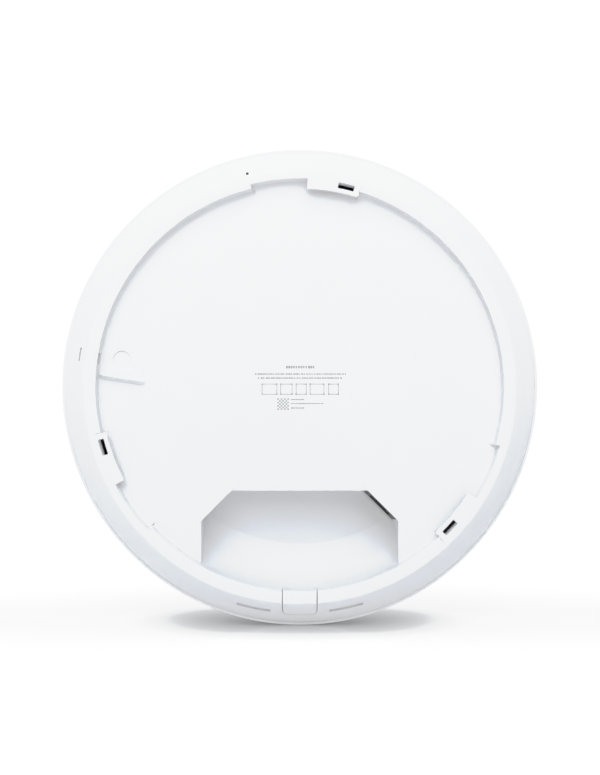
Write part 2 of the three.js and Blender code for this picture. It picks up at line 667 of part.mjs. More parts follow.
/** The magnet cup and its blades, which the shaft carries. */
function fanRotor() {
  const y0 = PARTS_Y + 2;
  const y1 = PARTS_Y + FAN.high - 0.5;
  const wall = 1.2;
  const cup = rod(FAN.hub, y0, y1, [0, 0], MEDIUM_FACETS)
    .subtract(rod(FAN.hub - wall, y0 - CUT, y1 - wall, [0, 0], MEDIUM_FACETS));
  const blade = { sweep: 34, half: 0.45 };
  const blades = [...Array(FAN.blades).keys()].map((i) => {
    const turn = i * 360 / FAN.blades;
    const edge = (r, angle, y) => {
      const [x, z] = polar(r, turn + angle);
      const [nx, nz] = polar(blade.half, turn + angle + 90);
      return [[x - nx, y, z - nz], [x + nx, y, z + nz]];
    };
    return hull([
      ...edge(FAN.hub - wall / 2, 0, y0 + 0.3),
      ...edge(FAN.bladeR, 0, y0 + 0.3),
      ...edge(FAN.hub - wall / 2, blade.sweep, y1 - 0.3),
      ...edge(FAN.bladeR, blade.sweep, y1 - 0.3),
    ]).subtract(rod(FAN.hub - wall, 0, DEPTH, [0, 0], MEDIUM_FACETS));
  });
  return meshOf('fan_rotor', joined([cup, ...blades]), MATERIALS.black);
}

function fanCore() {
  const stator = { r: 6.9, bore: 1.6, y0: PARTS_Y + 1.4 + GAP, y1: PARTS_Y + 6.6 };
  const shaftTop = PARTS_Y + FAN.high - 0.5 - 1.2 - GAP;
  const winding = rod(stator.r, stator.y0, stator.y1, [0, 0], 18)
    .subtract(rod(stator.bore, 0, DEPTH, [0, 0], SMALL_FACETS));
  return [
    meshOf('fan_stator', winding, MATERIALS.coil),
    meshOf('fan_shaft', rod(1, stator.y0 + GAP, shaftTop), MATERIALS.steel),
  ];
}

/** A moulded transformer: a wide base with a narrower crown. */
function transformer(name, place, [w, h], high) {
  const solid = tile(place, [w, h], PARTS_Y, PARTS_Y + high * 0.75)
    .add(tile(place, [w - 2.4, h - 2.4], PARTS_Y + 1, PARTS_Y + high));
  return meshOf(name, solid, MATERIALS.chip);
}

function capacitor(name, place) {
  const solid = rod(4, PARTS_Y, PARTS_Y + 9, place, 18);
  return meshOf(name, solid, MATERIALS.aluminium);
}

function spacer(name, place) {
  const top = REFLECTOR.y0 - GAP;
  const solid = rod(3, PARTS_Y, top, place).subtract(rod(1.3, PARTS_Y + 2, DEPTH, place, BORE_FACETS));
  return meshOf(name, solid, MATERIALS.steel);
}

/** A bent sheet antenna, standing on the reflector at a radius of its own. */
function antenna(name, angle, [w, h], high) {
  const sheet = 0.5;
  const circle = 52;
  const y0 = REFLECTOR.y1 + GAP;
  const solid = joined([
    tile([0, 0], [w, h], y0 + high - sheet, y0 + high),
    tile([0, -h / 2 + sheet / 2], [w / 3, sheet], y0, y0 + high - sheet / 2),
    tile([0, -h / 2 + 2], [w / 3, 4], y0, y0 + sheet),
  ]);
  const mesh = meshOf(name, solid, MATERIALS.brass);
  const [x, z] = polar(circle, angle);
  mesh.position.set(x, 0, z);
  mesh.rotation.y = radians(angle);
  return mesh;
}

/** A pan head screw that points towards the back, with its head's seat at y. */
function screw(name, [x, z], y, long) {
  const solid = revolve([
    [0, -long],
    [SCREW.shank, -long],
    [SCREW.shank, 0],
    [SCREW.headR, 0],
    [SCREW.headR * SCREW.crown, SCREW.headHigh],
    [0, SCREW.headHigh],
  ], SMALL_FACETS);
  const mesh = meshOf(name, solid, MATERIALS.steel);
  mesh.position.set(x, y, z);
  return mesh;
}

// ---- assembly ----

const group = new THREE.Group();

group.add(
  rearCover(),
  frontCover(),
  lightRing(),
  centreCap(),
  ringHolder(),
  cableGate(),
  ...jackPieces(),
  ...resetPieces(),
  backingPlate(),
  mainBoard(),
  reflectorPlate(),
  ledBoard(),
  processor(),
  flatChip('memory_chip', [0, 29.5], [14, 8], 1.2),
  flatChip('flash_chip', [0, 60], [8, 6], 1),
  shieldCan('shield_can_left', [-34, 46], [26, 22]),
  shieldCan('shield_can_right', [34, 46], [26, 22]),
  shieldCan('shield_can_top', [0, 75], [26, 12]),
  thermalPad('thermal_pad_middle', [0, 46], [12, 12]),
  thermalPad('thermal_pad_left', [-34, 46], [22, 18]),
  thermalPad('thermal_pad_right', [34, 46], [22, 18]),
  heatSink(),
  fanFrame(),
  fanRotor(),
  ...fanCore(),
  transformer('lan_transformer', [58, -16], [17, 12], 6),
  transformer('power_transformer', [-58, -18], [20, 20], 9.8),
  transformer('inductor', [-58, 4], [12, 12], 6.5),
  capacitor('capacitor_a', [-38, -24]),
  capacitor('capacitor_b', [-38, -12]),
);

SPACERS.forEach((place, i) => {
  group.add(spacer(`spacer_${i + 1}`, place));
  group.add(screw(`reflector_screw_${i + 1}`, place, REFLECTOR.y1 + GAP, 7));
});

bossPlaces.forEach((place, i) => {
  group.add(screw(`board_screw_${i + 1}`, place, BOARD.y1 + GAP, 6));
});

fanScrewPlaces().forEach((place, i) => {
  const seat = PARTS_Y + FAN.high + GAP;
  group.add(screw(`fan_screw_${i + 1}`, place, seat, seat - BOARD.y0));
});

SINK_LEGS.forEach((place, i) => {
  const seat = SINK.y1 + GAP;
  group.add(screw(`heat_sink_screw_${i + 1}`, place, seat, seat - BOARD.y0));
});

[
  ['antenna_2g_left', 270, [26, 10], 6.5],
  ['antenna_2g_right', 90, [26, 10], 6.5],
  ['antenna_5g_left', 315, [14, 7], 5.2],
  ['antenna_5g_right', 45, [14, 7], 5.2],
  ['antenna_6g_left', 205, [11, 6], 4.6],
  ['antenna_6g_right', 155, [11, 6], 4.6],
].forEach(([name, angle, size, high]) => group.add(antenna(name, angle, size, high)));

export default group;
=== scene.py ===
# A round indoor access point, standing on its edge with its back to the viewer.
# Metres, in the CAD's own frame: X right and Z up seen from the back, Y from the mounting
# plane to the dome. Sizes below are in millimetres and are scaled when a mesh is made.

import bpy
import numpy as np
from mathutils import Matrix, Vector


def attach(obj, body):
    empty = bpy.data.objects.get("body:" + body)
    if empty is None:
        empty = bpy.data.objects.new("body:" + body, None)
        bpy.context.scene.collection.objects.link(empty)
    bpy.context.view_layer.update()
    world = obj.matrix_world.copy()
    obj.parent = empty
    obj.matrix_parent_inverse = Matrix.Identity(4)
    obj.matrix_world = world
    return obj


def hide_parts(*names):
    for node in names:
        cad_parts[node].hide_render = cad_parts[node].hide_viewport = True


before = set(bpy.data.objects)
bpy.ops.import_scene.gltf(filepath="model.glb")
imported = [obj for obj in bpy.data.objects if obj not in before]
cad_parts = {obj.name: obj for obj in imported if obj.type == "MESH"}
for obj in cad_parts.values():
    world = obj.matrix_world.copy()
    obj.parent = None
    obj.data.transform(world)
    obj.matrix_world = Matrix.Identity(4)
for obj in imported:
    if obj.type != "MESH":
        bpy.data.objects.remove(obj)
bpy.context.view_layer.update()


# ---- Camera ----
# Level with the middle of the disc and square to its back, half a metre away.

rear_view = bpy.data.cameras.new("rear_view")
rear_view.lens = 57.9
rear_view.sensor_width = 36
camera = bpy.data.objects.new("camera", rear_view)
camera.location = (0.0001, -0.530, -0.0001)
camera.rotation_euler = (np.pi / 2, 0, 0)
bpy.context.scene.collection.objects.link(camera)
bpy.context.scene.camera = camera


# ---- Floor, room and lamps ----
# A white floor that the disc stands on, in a white room that is brightest to the sides, with
# one broad soft box above. The floor is glossy only near the disc.

class Signal:
    """A node's output, for shader maths written as Python: each operator adds one Math node."""

    def __init__(self, finish, socket):
        self.finish = finish
        self.socket = socket

    def maths(self, operation, first, second):
        return self.finish.add("ShaderNodeMath", {"operation": operation}, {0: first, 1: second})

    def __add__(self, other):
        return self.maths("ADD", self, other)

    __radd__ = __add__

    def __mul__(self, other):
        return self.maths("MULTIPLY", self, other)

    __rmul__ = __mul__

    def __sub__(self, other):
        return self.maths("SUBTRACT", self, other)

    def __rsub__(self, other):
        return self.maths("SUBTRACT", other, self)

    def __truediv__(self, other):
        return self.maths("DIVIDE", self, other)

    def above(self, edge):
        return self.maths("GREATER_THAN", self, edge)

    def at_most(self, top):
        return self.maths("MINIMUM", self, top)

    def at_least(self, foot):
        return self.maths("MAXIMUM", self, foot)

    def size(self):
        return self.finish.add("ShaderNodeMath", {"operation": "ABSOLUTE"}, {0: self})


class Finish:
    """A material. add() puts in one node: its type, its settings, then its sockets."""

    def __init__(self, name, **fixed):
        self.material = bpy.data.materials.new(name)
        self.material.use_nodes = True
        self.nodes = self.material.node_tree.nodes
        self.links = self.material.node_tree.links
        self.shader = self.nodes["Principled BSDF"]
        for socket, value in fixed.items():
            self.shader.inputs[socket.replace("_", " ").title().replace("Ior", "IOR")].default_value = value

    def add(self, kind, settings=None, sockets=None, output=0):
        node = self.nodes.new(kind)
        for name, value in (settings or {}).items():
            if name == "stops":
                ramp = node.color_ramp.elements
                while len(ramp) < len(value):
                    ramp.new(0.5)
                for stop, (place, colour) in zip(ramp, value):
                    stop.position = place
                    stop.color = colour
            else:
                setattr(node, name, value)
        for key, value in (sockets or {}).items():
            self.feed(node.inputs[key], value)
        return Signal(self, node.outputs[output])

    def feed(self, socket, value):
        if isinstance(value, Signal):
            self.links.new(value.socket, socket)
        else:
            socket.default_value = value

    def drive(self, socket, signal):
        self.feed(self.shader.inputs[socket], signal)

    def place(self):
        """Object coordinates."""
        return self.add("ShaderNodeTexCoord", output="Object")

    def noise(self, scale, detail=2.0, roughness=0.5):
        return self.add("ShaderNodeTexNoise", {"noise_dimensions": "3D"}, {
            "Vector": self.place(), "Scale": scale, "Detail": detail, "Roughness": roughness})

    def blend(self, amount, first, second):
        """One colour over another, by an amount from 0 to 1."""
        return self.add("ShaderNodeMix", {"data_type": "RGBA"}, {0: amount, 6: first, 7: second},
                        output=2)

    def bump(self, height, strength, distance):
        self.drive("Normal", self.add("ShaderNodeBump", {}, {
            "Strength": strength, "Distance": distance, "Height": height}))


class Room(Finish):
    """The world, whose nodes are added in the same way as a material's."""

    def __init__(self, name):
        self.world = bpy.data.worlds.new(name)
        self.world.use_nodes = True
        self.nodes = self.world.node_tree.nodes
        self.links = self.world.node_tree.links


# The floor's masks, all from object coordinates: the gloss under the disc, the glow behind it,
# a strip that lights the cone from beneath, and an oval of painted shade round the contact.
floor_z = -0.10305
gloss_from, gloss_span, gloss_share = -0.075, 0.087, 0.3
glow_from, glow_span = 0.045, 0.17
strip_middle, strip_half = -0.012, 0.03
oval_middle, oval_x, oval_y = 0.02, 0.075, 0.045
floor_finish = Finish("white_floor")
depth = floor_finish.add("ShaderNodeSeparateXYZ", {}, {0: floor_finish.place()}, 1)
under = ((depth - gloss_from) / gloss_span).at_least(0.0).at_most(1.0)
behind = ((depth - glow_from) / glow_span).at_least(0.0).at_most(1.0)
beneath = (1.0 - ((depth - strip_middle) / strip_half).size()).at_least(0.0)
across = floor_finish.add("ShaderNodeSeparateXYZ", {}, {0: floor_finish.place()}) / oval_x
along = (depth - oval_middle) / oval_y
spread = (across * across + along * along).at_most(1.0)
seen = floor_finish.add("ShaderNodeLightPath")
# Painted shade: for camera rays the floor's glow fades and its tone falls from 0.9 to 0.4 inside the oval
# round the contact.
seen_glow_and_painted_shade = behind * 0.6 + spread * 0.42
painted_contact_shade = floor_finish.blend(spread, (0.40, 0.40, 0.41, 1), (0.9, 0.9, 0.9, 1))
tone = floor_finish.blend(seen, (0.75, 0.75, 0.75, 1), painted_contact_shade)
lit = floor_finish.add("ShaderNodeBsdfDiffuse", {}, {"Color": tone})
glow = floor_finish.add("ShaderNodeEmission", {}, {
    "Color": (1, 1, 1, 1),
    "Strength": 0.05 + behind * 0.6 + seen * seen_glow_and_painted_shade + (1 - seen) * beneath * 0.25})
paper = floor_finish.add("ShaderNodeAddShader", {}, {0: lit, 1: glow})
gloss = floor_finish.add("ShaderNodeBsdfAnisotropic", {}, {"Color": (1, 1, 1, 1), "Roughness": 0.11})
floor_finish.feed(floor_finish.nodes["Material Output"].inputs["Surface"], floor_finish.add(
    "ShaderNodeMixShader", {}, {0: under * gloss_share, 1: paper, 2: gloss}))

floor_half = 3
corners = [(x, y, floor_z) for x, y in ((-floor_half, -floor_half), (floor_half, -floor_half),
                                        (floor_half, floor_half), (-floor_half, floor_half))]
floor_mesh = bpy.data.meshes.new("floor")
floor_mesh.from_pydata(corners, [], [(0, 1, 2, 3)])
floor_mesh.materials.append(floor_finish.material)
floor = bpy.data.objects.new("floor", floor_mesh)
bpy.context.scene.collection.objects.link(floor)

# The room's light rises from the viewer's side to the disc's sides and falls again straight
# behind it. Seen directly, the room is one even white.
front_light, side_light, seen_light = 0.3, 1.5, 1.5
room = Room("white_room")
facing = room.add("ShaderNodeSeparateXYZ", {}, {
    0: room.add("ShaderNodeTexCoord", output="Generated")}, 1)
rise = (facing * 3.0 + 0.5).at_least(0.0).at_most(1.0)
fall = ((0.85 - facing) / 0.35).at_least(0.0).at_most(1.0)
in_view = room.add("ShaderNodeLightPath")
lighting = front_light + rise * fall * (side_light - front_light)
room.feed(room.nodes["Background"].inputs["Color"], (0.99, 0.996, 1.0, 1))
room.feed(room.nodes["Background"].inputs["Strength"], in_view * seen_light + (1 - in_view) * lighting)
bpy.context.scene.world = room.world


def soft_box(name, place, width, watts):
    """A square area lamp at a place, aimed at the middle of the disc."""
    lamp = bpy.data.lights.new(name, "AREA")
    lamp.size = width
    lamp.energy = watts
    holder = bpy.data.objects.new(name, lamp)
    holder.location = place
    holder.rotation_euler = (-Vector(place)).to_track_quat("-Z", "Y").to_euler()
    bpy.context.scene.collection.objects.link(holder)


soft_box("key_lamp", (-0.05, -0.735, 0.675), 1.1, 10.8)


# ---- Moulded white polycarbonate ----
# Both covers, the gate and the cap are injection moulded from one white polycarbonate.
# Their tools are spark-eroded to a fine satin texture, and the flow of the melt leaves the
# faintest change of tone.

def moulded(name, colour, shade, rough=0.42, grain=0.12, **fixed):
    """Spark-textured plastic: colour to shade by a slow noise, roughness and bump by fine ones."""
    finish = Finish(name, **fixed)
    flow = finish.noise(14.0, 3.0)
    spark = finish.noise(2600.0, 2.0, 0.6)
    finish.drive("Base Color", finish.blend((flow - 0.35) * 1.6, (*colour, 1), (*shade, 1)))
    finish.drive("Roughness", rough - 0.06 + 0.12 * finish.noise(420.0, 3.0))
    finish.bump(spark, grain, 0.00006)
    return finish.material


white_cover = moulded("white_cover", (0.785, 0.797, 0.815), (0.768, 0.781, 0.801))


# ---- Rear cover ----
# One moulding: a flat rim with three bayonet lugs, a 45 degree cone out to the seam, a
# recessed base plate, and the cable pocket. Slots, vents and the pocket are cut out of the
# turned shape, and the mouths of the pocket, the lug slots, the dimple and the pin bore flare
# by their edge's radius.

MM = 0.001
rim_inner, rim_outer, seam_r = 86.9, 92.2, 101.4
seam_y, shoulder_y, rim_thick = 9.0, 9.6, 2.4
recess_r, recess_y, base_back = 88.8, 5.0, 7.1
lug_r = 84.5
draft, foot_edge = 0.4, 0.45


def polar(r, angle):
    """[x, z] at a radius and an angle in degrees, clockwise from the top seen from the back."""
    angle = np.radians(angle)
    return np.stack([r * np.sin(angle), r * np.cos(angle)], axis=-1)


def rounded(corners, radii, steps=5):
    """A closed outline. A corner with a radius becomes steps + 1 points of a curve through the
    points where its arc would touch: (1-t)^2 a + 2t(1-t) c + t^2 b."""
    corners = np.asarray(corners, float)
    radii = np.asarray(radii, float)[:, None]
    before = np.roll(corners, 1, axis=0) - corners
    after = np.roll(corners, -1, axis=0) - corners
    before /= np.linalg.norm(before, axis=1, keepdims=True)
    after /= np.linalg.norm(after, axis=1, keepdims=True)
    half = np.arccos(np.clip((before * after).sum(1), -1, 1)) / 2
    reach = radii / np.tan(half)[:, None]
    t = np.linspace(0, 1, steps + 1)[None, :, None]
    start, end = (corners + before * reach)[:, None], (corners + after * reach)[:, None]
    curve = (1 - t) ** 2 * start + 2 * t * (1 - t) * corners[:, None] + t ** 2 * end
    keep = np.broadcast_to((radii > 0) | (np.arange(steps + 1) == 0), curve.shape[:2])
    return curve[keep]


def outward(outline):
    """Unit normals of a closed outline, to the left of its direction of travel."""
    ahead = np.roll(outline, -1, axis=0) - outline
    ahead /= np.linalg.norm(ahead, axis=1, keepdims=True)
    normal = np.stack([-ahead[:, 1], ahead[:, 0]], axis=1)
    both = normal + np.roll(normal, 1, axis=0)
    return both / np.maximum((both * both).sum(1, keepdims=True) / 2, 0.4)


def solid(name, rings, material=None, bevel=30.0, closed=False):
    """A closed mesh from rings of points (rows, columns, xyz) in mm. Each ring joins the next
    with quads. The first and last rings are closed by flat faces, or join up when closed."""
    rings = np.asarray(rings, float)
    if closed:
        rings = np.concatenate([rings, rings[:1]])
    rows, columns = rings.shape[:2]
    index = np.arange(rows * columns).reshape(rows, columns)
    if closed:
        index[-1] = index[0]
    side = np.stack([index[:-1], np.roll(index[:-1], -1, 1), np.roll(index[1:], -1, 1), index[1:]], -1)
    faces = side.reshape(-1, 4).tolist()
    if not closed:
        faces += [index[0][::-1].tolist(), index[-1].tolist()]
    points = rings[:-1] if closed else rings
    mesh = bpy.data.meshes.new(name)
    mesh.from_pydata((points.reshape(-1, 3) * MM).tolist(), [], faces)
    if signed_volume(rings) < 0:
        mesh.flip_normals()
    piece = bpy.data.objects.new(name, mesh)
    bpy.context.scene.collection.objects.link(piece)
    if material:
        mesh.materials.append(material)
        shade(piece, bevel)
    return piece


def signed_volume(rings):
    """Six times the volume inside the rings' side faces, by triple products from their middle."""
    rings = rings - rings.mean((0, 1))
    a, b = rings[:-1], np.roll(rings[:-1], -1, 1)
    c, d = np.roll(rings[1:], -1, 1), rings[1:]
    return (np.cross(a, b) * c).sum() + (np.cross(a, c) * d).sum()


def shade(piece, bevel):
    """Smooth shading that keeps the edges sharper than bevel degrees."""
    piece.data.shade_smooth()
    piece.data.set_sharp_from_angle(angle=np.radians(bevel))


def fit(piece, body, slot, *nodes):
    """Hangs a piece on the body it rides on and hides the nodes it stands for. The slot is not used."""
    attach(piece, body)
    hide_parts(*nodes)


def turned(profile, columns=360):
    """Rings of a section of [radius, y] points turned round the Y axis."""
    profile = np.asarray(profile, float)
    around = polar(1.0, np.arange(columns) * 360 / columns)
    rings = np.empty((len(profile), columns, 3))
    rings[:, :, 0] = profile[:, :1] * around[None, :, 0]
    rings[:, :, 1] = profile[:, 1:]
    rings[:, :, 2] = profile[:, :1] * around[None, :, 1]
    return rings


def arc(centre, radius, start, end, steps=5):
    """Points of a section's round edge, angles in degrees from the radius axis towards Y."""
    t = np.radians(np.linspace(start, end, steps + 1))
    return np.stack([centre[0] + radius * np.cos(t), centre[1] + radius * np.sin(t)], -1)


def lofted(outline, levels):
    """Rings of an outline in X and Z, pushed out by an amount at each [y, amount] level."""
    normal = outward(outline)
    rings = np.empty((len(levels), len(outline), 3))
    for ring, (y, grow) in zip(rings, levels):
        ring[:, [0, 2]] = outline - normal * grow
        ring[:, 1] = y
    return rings


def flared(mouth, edge, foot, steps=4):
    """Levels of a cutter whose mouth opens by a quarter circle of radius edge at Y = mouth."""
    t = np.linspace(0, np.pi / 2, steps + 1)
    curve = np.stack([mouth + edge * (1 - np.cos(t)), edge * (1 - np.sin(t))], -1)
    return np.vstack([[mouth - 3, edge], curve, [foot, 0]])


def anticlockwise(points):
    """An outline's points in the order that lofted() takes."""
    x, z = np.asarray(points, float).T
    area = (x * np.roll(z, -1) - np.roll(x, -1) * z).sum()
    return np.asarray(points, float)[::-1] if area < 0 else np.asarray(points, float)


def combine(piece, tool, operation="DIFFERENCE"):
    """Applies a boolean of another mesh to a piece, and removes the tool."""
    cut = piece.modifiers.new("cut", "BOOLEAN")
    cut.operation = operation
    cut.solver = "MANIFOLD"
    cut.object = tool
    bpy.context.view_layer.update()
    shape = bpy.data.meshes.new_from_object(piece.evaluated_get(bpy.context.evaluated_depsgraph_get()))
    piece.modifiers.clear()
    piece.data = shape
    bpy.data.objects.remove(tool)


def wall_edge():
    """The recess's wall seen from the back: three turns of a tab's room, then plain wall."""
    corners, radii = [], []
    for turn in (0, 120, 240):
        for r, start, end in ((recess_r, -13.6, 17.0), (rim_inner, 17.0, 106.4)):
            angles = np.linspace(start, end, int((end - start) / 1.2)) + turn
            corners.append(polar(r, angles))
            radii.append(np.where(np.isin(np.arange(len(angles)), [0, len(angles) - 1]), 0.55, 0))
    return rounded(np.vstack(corners), np.concatenate(radii))


def rear_shell():
    """Rings from the base plate, up the wall, round the rim and the cone, to the inner face."""
    edge = wall_edge()
    normal = outward(edge)
    bearing = np.unwrap(np.arctan2(edge[:, 0], edge[:, 1]))
    spread = np.convolve(np.r_[bearing[-12:] - 2 * np.pi, bearing, bearing[:12] + 2 * np.pi],
                         np.ones(9) / 9, "same")[12:-12]
    around = np.stack([np.sin(spread), np.cos(spread)], -1)
    rows = []

    def circle(r, y):
        rows.append(np.insert(around * r, 1, y, axis=1))

    circle(84.0, recess_y)
    for inset, y in [*arc((-foot_edge - draft, recess_y - foot_edge), foot_edge, 90, 0, 4),
                     *arc((0.3, 0.3), 0.3, 180, 270, 4)]:
        rows.append(np.insert(edge + normal * inset, 1, y, axis=1))
    slope = seam_y / (seam_r - rim_outer)
    for r, y in [(90.0, 0.0), *arc((rim_outer - 0.6, 1.45), 1.45, -90, -45, 4)]:
        circle(r, y)
    for r in (95.0, 98.0):
        circle(r, (r - rim_outer) * slope)
    for r, y in arc((seam_r - 0.35, seam_y + 0.1), 0.35, -45, 0, 3):
        circle(r, y)
    for r, y in [(seam_r, shoulder_y), (99.8, shoulder_y), (99.8, 13.6), (97.9, 13.6), (97.9, 9.0),
                 (91.5, rim_thick), (recess_r + 2, rim_thick), (recess_r + 2, recess_y + 2)]:
        circle(r, y)
    return np.array(rows)


pocket_top, pocket_half, chamfer, pocket_wall = -44.4, 29.2, 13.0, 1.8
floor_y, flat_r = 23.6, 69.4
mouth_edge = 0.35


def pocket_outline():
    """Half a hexagon with rounded corners, running out below the disc."""
    side = pocket_half + chamfer
    return rounded(anticlockwise([[-side, -110], [side, -110], [side, pocket_top - chamfer],
                                  [pocket_half, pocket_top], [-pocket_half, pocket_top],
                                  [-side, pocket_top - chamfer]]), [0, 0, 1.6, 1.6, 1.6, 1.6])


def bowl(grow, top):
    """A flat middle, then an arc that leaves it at 15 degrees and reaches the recess's edge."""
    wide, deep = rim_inner - draft - flat_r, floor_y - recess_y
    first = np.radians(15)
    last = 2 * np.arctan2(deep, wide) - first
    radius = np.hypot(wide, deep) / 2 / np.sin((last - first) / 2)
    t = np.linspace(last, first, 25)
    curve = np.stack([flat_r + radius * (np.sin(t) - np.sin(first)) + grow * np.sin(t),
                      floor_y - radius * (np.cos(first) - np.cos(t)) + grow * np.cos(t)], -1)
    return turned(np.vstack([[[rim_inner - draft + grow, top]], curve, [[flat_r - 6, floor_y + grow]]]))


wall_middle = np.array([pocket_half + chamfer / 2, pocket_top - chamfer / 2])
wall_lean, lean_from = np.tan(np.radians(8)), 9.0


def on_wall(points):
    """World points of [across, y, into the wall] in the frame of the leaning upper right wall."""
    points = np.asarray(points, float)
    across, y, into = points[..., 0], points[..., 1], points[..., 2]
    half_root = np.sqrt(0.5)
    return np.stack([wall_middle[0] + (across + into) * half_root, y,
                     wall_middle[1] + (into - across) * half_root], -1)


def slab(half, y0, y1, back, front=None):
    """A block against the pocket's wall from y0 to y1. Its front leans into the pocket, or
    stands at a depth of its own."""
    rings = []
    for y in (y0, y1):
        face = -(y - lean_from) * wall_lean if front is None else front
        rings.append([[-half, y, face], [half, y, face], [half, y, back], [-half, y, back]])
    return on_wall(rings)


def sector(inner, outer, start, end, radius=0.4):
    """The outline of a stretch of ring, with rounded corners."""
    angles = np.linspace(start, end, 9)
    corners = np.vstack([polar(inner, angles), polar(outer, angles[::-1])])
    radii = np.where(np.isin(np.arange(18), [0, 8, 9, 17]), radius, 0)
    return rounded(anticlockwise(corners), radii)


def disc(place, radius, columns=48):
    """A circle's outline."""
    return anticlockwise(np.asarray(place) + polar(radius, np.arange(columns) * 360 / columns))


def ridge(start, end, half, high, base):
    """A rib whose section is a triangle with a round crest, and whose ends slope to the floor."""
    start, end = np.asarray(start, float), np.asarray(end, float)
    length = np.linalg.norm(end - start)
    along = (end - start) / length
    across = np.array([-along[1], along[0]])
    side = np.sin(np.linspace(-np.pi / 2, np.pi / 2, 15))
    crest = high * (1 - np.sqrt(side ** 2 + 0.012)) / (1 - np.sqrt(0.012))
    stations = np.r_[0, np.linspace(0.02, high, 9), np.linspace(length - high, length - 0.02, 9), length]
    rise = np.clip(np.minimum(stations, length - stations) / high, 0.0, 1.0)
    rings = np.empty((len(stations), 17, 3))
    plan = start + stations[:, None, None] * along + np.r_[side, 1, -1][:, None] * across * half
    rings[:, :, [0, 2]] = plan
    rings[:, :15, 1] = recess_y - np.maximum(crest, 0) * rise[:, None]
    rings[:, 15:, 1] = base
    return rings


rear = solid("rear_casing", rear_shell())
pocket_shell = solid("pocket_shell", lofted(pocket_outline(), [[recess_y + 1, pocket_wall],
                                                             [floor_y + 3, pocket_wall]]))
combine(pocket_shell, solid("bowl", bowl(pocket_wall, recess_y + 1)), "INTERSECT")
combine(rear, pocket_shell, "UNION")
rib_start, rib_end, rib_half, rib_high = [-86.9, 5.5], [-66.0, 2.2], 1.6, 2.5
combine(rear, solid("rib", ridge(rib_start, rib_end, rib_half, rib_high, recess_y + 1)), "UNION")

pocket = solid("pocket", lofted(pocket_outline(), flared(recess_y, mouth_edge, floor_y + 3)))
combine(pocket, solid("bowl", bowl(0, recess_y - 0.55)), "INTERSECT")
combine(pocket, solid("wall", slab(chamfer / 2 * np.sqrt(2) + 4, recess_y + 0.6, floor_y + 5, 3)))
combine(rear, pocket)

ramp_top = pocket_top + 3.2
combine(rear, solid("ramp", [[[-w, y0, z], [w, y0, z], [w, y1, z], [-w, y1, z]] for w, y0, y1, z in (
    (pocket_half, 4, 5.5, pocket_top - 1), (pocket_half, 4, 5.5, pocket_top),
    (pocket_half - 3.2, 4, 5.0, ramp_top))]))
combine(rear, solid("jack_window", slab(9.0, 6.3, 22.6, 4, -6)))
combine(rear, solid("jack_sill", slab(8.9, 21.8, 23.2, -1.0, -2.8)), "UNION")
dimple_place, dimple_r, dimple_edge, dimple_deep = (-76.4, 11.9), 3.6, 0.6, 0.75
combine(rear, solid("dimple", lofted(disc(dimple_place, dimple_r),
                                     flared(recess_y, dimple_edge, recess_y + dimple_deep))))

for turn in (0, 120, 240):
    lug = sector(lug_r, recess_r + 0.9, 2.1 + turn, 17 + turn, 0.5)
    combine(rear, solid("lug", lofted(lug, [[0, -0.3], [0.09, -0.09], [0.3, 0], [rim_thick, 0]])), "UNION")
    hole = sector(86.3, 88.7, 10.8 + turn, 15.3 + turn)
    combine(rear, solid("lug_slot", lofted(hole, flared(0, 0.25, base_back))))
vent_from, vent_to, vent_foot = 7.5, 16.3, 5.6
for start, end in ((180 - vent_to, 180 - vent_from), (180 + vent_from, 180 + vent_to)):
    combine(rear, solid("vent", lofted(sector(96.0, 97.1, start, end, 0.5), [[-1, 0], [vent_foot, 0]])))
release_from, release_to, slit_foot = 276.7, 280.3, 3.9
combine(rear, solid("release_slit", lofted(sector(94.5, 95.3, release_from, release_to, 0.35),
                                           [[-1, 0], [slit_foot, 0]])))
combine(rear, solid("release_window", lofted(sector(85.5, 91.8, release_from, 279.7, 0.2),
                                             [[1.2, 0], [4.2, 0]])))
gate_half, gate_foot, gate_corner, gate_slack, foot_slack = 7.3, 97.6, 2.6, 0.25, 0.08


def gate_outline(grow):
    """Two straight sides with round lower corners. The gap at the foot is the tightest."""
    half, foot = gate_half + grow, -gate_foot - min(grow, foot_slack)
    return rounded(anticlockwise([[-half, -85.5], [-half, foot], [half, foot], [half, -85.5]]),
                   [0, gate_corner + grow, gate_corner + grow, 0], 9)


notch = solid("gate_notch", lofted(gate_outline(gate_slack), [[-1, 0], [7.6, 0]]))
combine(notch, solid("notch_step", turned([[91.1, 4.7], [91.1, 8.0]])))
combine(rear, notch)

pinhole, guide_r, pin_r = polar(93.9, 346.2), 2.2, 0.62
combine(rear, solid("pin_guide", lofted(disc(pinhole, guide_r), [[4.2, 0], [11.5, 0]])), "UNION")
combine(rear, solid("pin_bore", lofted(disc(pinhole, pin_r), flared(1.7, 0.1, 12.5))))
boss_circle, boss_r, boss_bore = 80, 3.2, 1.3
for angle in (40, 110, 250, 320):
    place = polar(boss_circle, angle)
    combine(rear, solid("boss", lofted(disc(place, boss_r), [[10, 0], [16.7, 0]])), "UNION")
    combine(rear, solid("boss_bore", lofted(disc(place, boss_bore), [[11, 0], [17, 0]])))
for angle in range(30, 390, 60):
    combine(rear, solid("snap_window", lofted(sector(97, 101, angle - 3.4, angle + 3.4, 0),
                                              [[10.8, 0], [12.6, 0]])))

rear.data.materials.clear()
rear.data.materials.append(white_cover)
shade(rear, 12)
fit(rear, "housing", "white_cover", "rear_cover")


# ---- Cable gate ----
# A moulded slide in the foot of the rim that closes the way where a cable leaves. It follows
# the rim and the cone, and its tongue closes the recess's wall.

